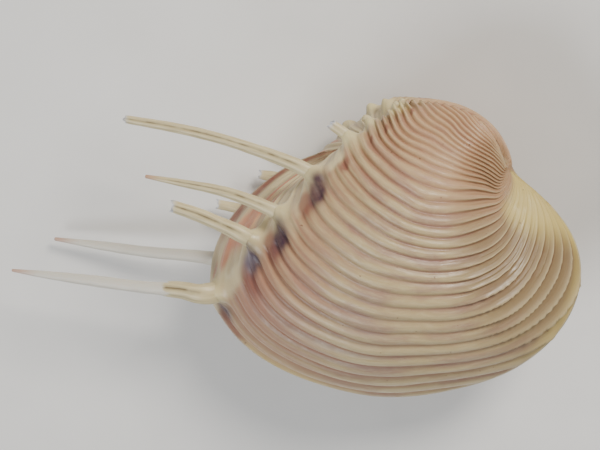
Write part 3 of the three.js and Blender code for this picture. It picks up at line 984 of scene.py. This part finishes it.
def shell_material():
    paint = Paint("shell")
    ridge = paint.mark("ridge")
    around = paint.mark("around")

    def streaked(around_scale, ridge_scale, detail):
        place = paint.vector(paint.scaled(around, around_scale), paint.scaled(ridge, ridge_scale), 0.0)
        return paint.noise(place, 1.0, detail, 0.6)

    bands = streaked(1.3, 0.8, 2.0)
    fine = streaked(7.0, 6.0, 4.0)
    mottle = paint.noise(paint.place(), 420.0, 4.0)
    pits = paint.noise(paint.place(), 1300.0, 1.0)
    uneven = paint.ranged(mottle, 0.3, 0.7, 0.6, 1.0)

    # From the ground colour of the ridges to the marks on top, each over those before it
    base = paint.mix(paint.ranged(bands, 0.46, 0.64, 0.0, 0.8), CREAM, LILAC)
    base = paint.mix(paint.ranged(fine, 0.45, 0.75, 0.0, 0.40), base, IVORY)
    base = paint.over(base, "crest", paint.ranged(bands, 0.35, 0.6, 0.36, 0.08), IVORY)
    base = paint.over(base, "front", 0.8, FRONT)
    base = paint.over(base, "blush", 0.6, BLUSH)
    base = paint.over(base, "lemon", 0.75, LEMON)
    base = paint.over(base, "flush", 0.75, FLUSH)
    # The grooves' own colour, and at the front end the painted shadow under the blades in olive
    groove = paint.mix(paint.mark("rear"), LILAC_GROOVE, PINK_GROOVE)
    groove = paint.mix(paint.mark("front"), groove, OLIVE_SHADOW_AND_SPECKS)
    base = paint.over(base, "groove_tint_and_blade_shadow", paint.scaled(uneven, 0.92), groove)
    base = paint.over(base, "bloom", 0.8, IVORY)
    # Painted highlight on the front blades' edges
    base = paint.over(base, "blade", 0.7, IVORY)
    base = paint.over(base, "salmon", uneven, SALMON)
    base = paint.over(base, "collar", 0.85, SPINE_CREAM)
    base = paint.over(base, "strip", uneven, STRIP)
    base = paint.over(base, "rust", 0.75, RUST)
    base = paint.over(base, "stain", uneven, STAIN)
    base = paint.over(base, "blue", 0.7, BLUE)
    base = paint.over(base, "edge", 0.8, IVORY)
    base = paint.mix(paint.ranged(pits, 0.20, 0.23, 0.8, 0.0), base, OLIVE_SHADOW_AND_SPECKS)
    paint.put(paint.shader.inputs["Base Color"], base)

    gloss = paint.noise(paint.place(), 900.0, 2.0)
    paint.put(paint.shader.inputs["Roughness"], paint.ranged(gloss, 0.3, 0.7, 0.28, 0.46))
    paint.shader.inputs["Specular IOR Level"].default_value = 0.4
    paint.glow_through(0.0008)
    striae = streaked(2.0, 7.0, 3.0)
    paint.bump(paint.added(striae, paint.scaled(mottle, 0.3)), 0.0001, 0.7)
    return paint.material


def spine_material():
    paint = Paint("spine")
    around = paint.scaled(paint.mark("side"), 3.0)
    along = paint.scaled(paint.mark("along"), 0.25)
    lengthwise = paint.noise(paint.vector(around, along, 0.0), 1.0, 3.0)
    mottle = paint.noise(paint.place(), 500.0, 3.0)
    base = paint.mix(paint.ranged(lengthwise, 0.35, 0.7), SPINE_LIGHT, SPINE_DARK)
    base = paint.over(base, "chalk", 1.0, CHALK)
    base = paint.over(base, "gutter", paint.ranged(mottle, 0.35, 0.6, 0.35, 0.95), HORN)
    base = paint.over(base, "tip", 0.75, TIP)
    base = paint.over(base, "broken", 0.8, BLUE_WHITE)
    paint.put(paint.shader.inputs["Base Color"], base)
    paint.put(paint.shader.inputs["Roughness"], paint.ranged(mottle, 0.3, 0.7, 0.38, 0.55))
    paint.glow_through(0.001)
    paint.bump(paint.added(lengthwise, paint.scaled(mottle, 0.4)), 0.00008, 0.7)
    return paint.material


def ligament_material():
    paint = Paint("ligament")
    fibres = paint.noise(paint.place(), 1400.0, 4.0, 0.6)
    base = paint.mix(paint.ranged(fibres, 0.35, 0.65), CORD_DARK, CORD_LIGHT)
    paint.put(paint.shader.inputs["Base Color"], base)
    paint.put(paint.shader.inputs["Roughness"], paint.ranged(fibres, 0.3, 0.7, 0.5, 0.8))
    paint.bump(fibres, 0.0002, 0.8)
    return paint.material


def table_material():
    paint = Paint("table")
    grain = paint.noise(paint.place(), 60.0, 3.0)
    base = paint.mix(paint.ranged(grain, 0.3, 0.7), TABLE_DARK, TABLE_LIGHT)
    paint.put(paint.shader.inputs["Base Color"], base)
    paint.shader.inputs["Roughness"].default_value = 0.75
    return paint.material


# The stage

def make_table():
    half = TABLE_HALF
    corners = [(-half, -half, 0), (half, -half, 0), (half, half, 0), (-half, half, 0)]
    mesh = bpy.data.meshes.new("table")
    mesh.from_pydata(corners, [], [(0, 1, 2, 3)])
    table = bpy.data.objects.new("table", mesh)
    bpy.context.scene.collection.objects.link(table)
    mesh.materials.append(table_material())


def make_light(name, place, size, power, tint):
    data = bpy.data.lights.new(name, "AREA")
    data.shape = "DISK"
    data.size = size
    data.energy = power
    data.color = tint
    light = bpy.data.objects.new(name, data)
    light.location = place
    aim = Vector(LIGHTS_AIM) - Vector(place)
    light.rotation_euler = aim.to_track_quat("-Z", "Y").to_euler()
    bpy.context.scene.collection.objects.link(light)


def make_lights():
    make_light("key", **KEY_LIGHT)
    make_light("fill", **FILL_LIGHT)
    world = bpy.data.worlds.new("studio")
    world.use_nodes = True
    background = world.node_tree.nodes["Background"]
    background.inputs["Color"].default_value = ROOM_TINT
    background.inputs["Strength"].default_value = ROOM_STRENGTH
    bpy.context.scene.world = world


def make_camera():
    data = bpy.data.cameras.new("camera")
    data.sensor_width = CAMERA_SENSOR
    data.lens = CAMERA_LENS
    data.clip_start = CAMERA_NEAREST
    camera = bpy.data.objects.new("camera", data)
    forward = Vector(CAMERA_FORWARD).normalized()
    right = forward.cross(Vector(CAMERA_UP)).normalized()
    up = right.cross(forward)
    turn = Matrix((right, up, -forward)).transposed().to_4x4()
    camera.matrix_world = Matrix.Translation(CAMERA_PLACE) @ turn
    bpy.context.scene.collection.objects.link(camera)
    bpy.context.scene.camera = camera


# Put together

make_camera()
make_table()
make_lights()

shell_paint = shell_material()
spine_paint = spine_material()

for valve, side, spines in (("right", 1, RIGHT_SPINES), ("left", -1, LEFT_SPINES)):
    skin = make_valve(valve + "_valve_surface", side, spines)
    skin.data.materials.append(shell_paint)
    rods = make_spines(valve + "_valve_spines", spines, side)
    rods.data.materials.append(spine_paint)
    for piece in (skin, rods):
        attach(piece, "root")
        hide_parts(valve + "_valve")

cord = make_ligament()
cord.data.materials.append(ligament_material())
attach(cord, "root")
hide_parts("ligament")
